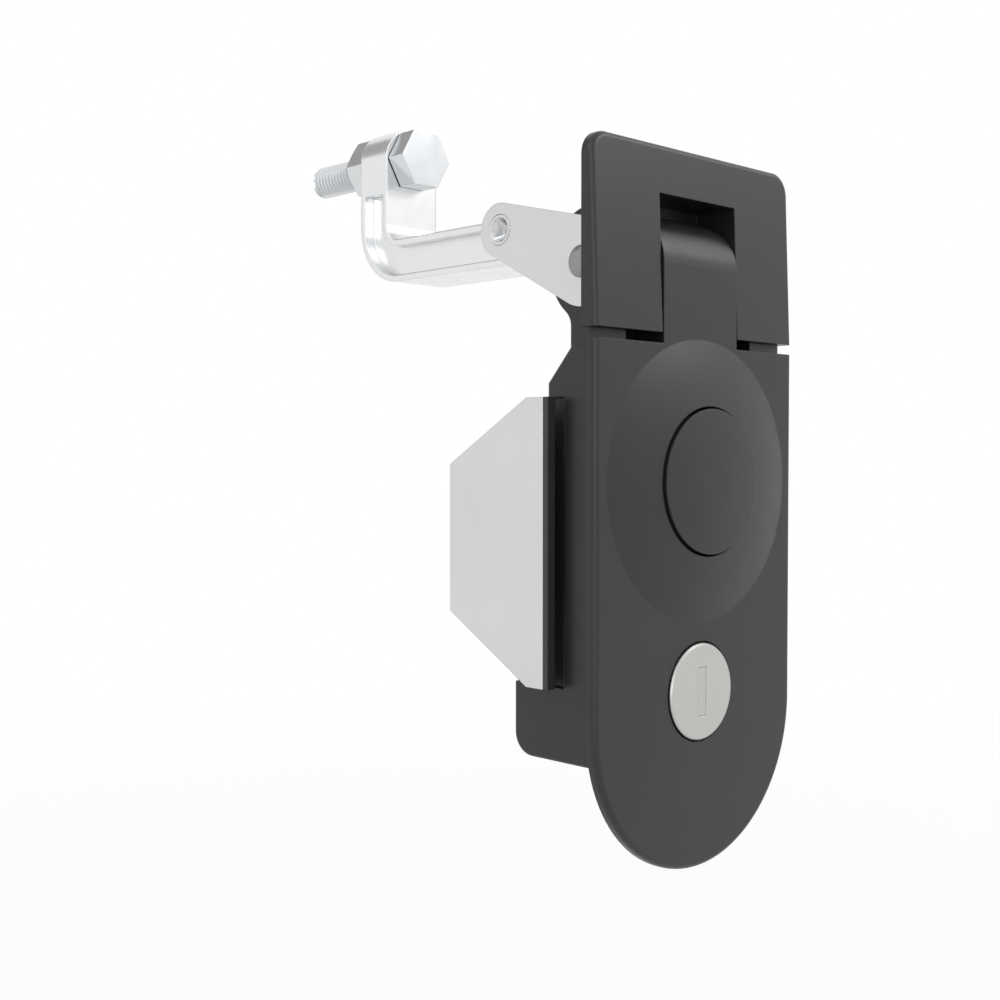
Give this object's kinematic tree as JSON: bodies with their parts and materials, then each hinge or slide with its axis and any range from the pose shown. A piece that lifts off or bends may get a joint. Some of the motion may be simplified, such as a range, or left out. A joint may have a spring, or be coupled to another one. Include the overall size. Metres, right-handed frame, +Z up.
{
  "type": "compression latch",
  "caption": "Flush lever compression latch with push button and key lock, round-ended black face, and a plated hook arm with an adjusting bolt behind the panel.",
  "frame": {"origin": "on the flange's seat against the panel, in the middle of the rim above the tongue's notch", "axes": "+Z up along the face, +Y inward through the panel towards the hook, +X to the right when facing the latch"},
  "size_m": [0.048, 0.0992, 0.1246],
  "materials": {
    "black_plastic": "satin",
    "zinc_steel": "zinc plated",
    "spring_steel": "bright",
    "lock_metal": "satin nickel",
    "white_plastic": "matte",
    "rubber": "matte"
  },
  "bodies": {
    "housing_body": {"housing": "black_plastic", "mounting_bracket": "zinc_steel", "bracket_pad_left": "rubber", "bracket_pad_right": "rubber", "bracket_screws": "zinc_steel"},
    "lever_body": {"lever": "black_plastic", "lever_cover": "black_plastic", "cover_screws": "zinc_steel", "lock_barrel": "lock_metal", "lock_clip": "spring_steel", "main_pin": "zinc_steel", "link_left": "zinc_steel", "link_right": "zinc_steel", "hook_rivet": "zinc_steel", "spacer_left": "zinc_steel", "spacer_right": "zinc_steel", "button_spring": "spring_steel", "catch_spring": "spring_steel", "hook_spring": "spring_steel"},
    "button_body": {"push_button": "black_plastic"},
    "catch_body": {"catch_slide": "white_plastic"},
    "plug_body": {"lock_plug": "lock_metal", "lock_cam": "zinc_steel", "cam_screw": "zinc_steel"},
    "hook_body": {"hook": "zinc_steel", "lock_nut": "zinc_steel"},
    "bolt_body": {"adjusting_bolt": "zinc_steel"}
  },
  "joints": [
    {"name": "lever_hinge", "type": "hinge", "parent": "housing_body", "child": "lever_body", "pos_m": [0, 0.0054, -0.0142], "axis": [-1, 0, 0], "range_deg": [0, 75]},
    {"name": "hook_hinge", "type": "hinge", "parent": "lever_body", "child": "hook_body", "pos_m": [0, 0.0232, -0.0074], "axis": [1, 0, 0], "range_deg": [0, 45], "deforming": ["hook_spring"]},
    {"name": "button_push", "type": "slide", "parent": "lever_body", "child": "button_body", "axis": [0, 1, 0], "range_m": [0, 0.0022], "stiffness_N_per_m": 900, "springref_m": -0.001, "deforming": ["button_spring"]},
    {"name": "catch_draw", "type": "slide", "parent": "lever_body", "child": "catch_body", "axis": [0, 0, 1], "range_m": [0, 0.0022], "deforming": ["catch_spring"]},
    {"name": "plug_turn", "type": "hinge", "parent": "lever_body", "child": "plug_body", "pos_m": [0, 0, -0.079], "axis": [0, 1, 0], "range_deg": [0, 90]},
    {"name": "bolt_adjust", "type": "slide", "parent": "hook_body", "child": "bolt_body", "axis": [0, -1, 0], "range_m": [0, 0.012]}
  ],
  "couplings": [
    {"joint": "hook_hinge", "follows": "lever_hinge", "ratio": 0.6},
    {"joint": "catch_draw", "follows": "button_push", "ratio": 1}
  ]
}
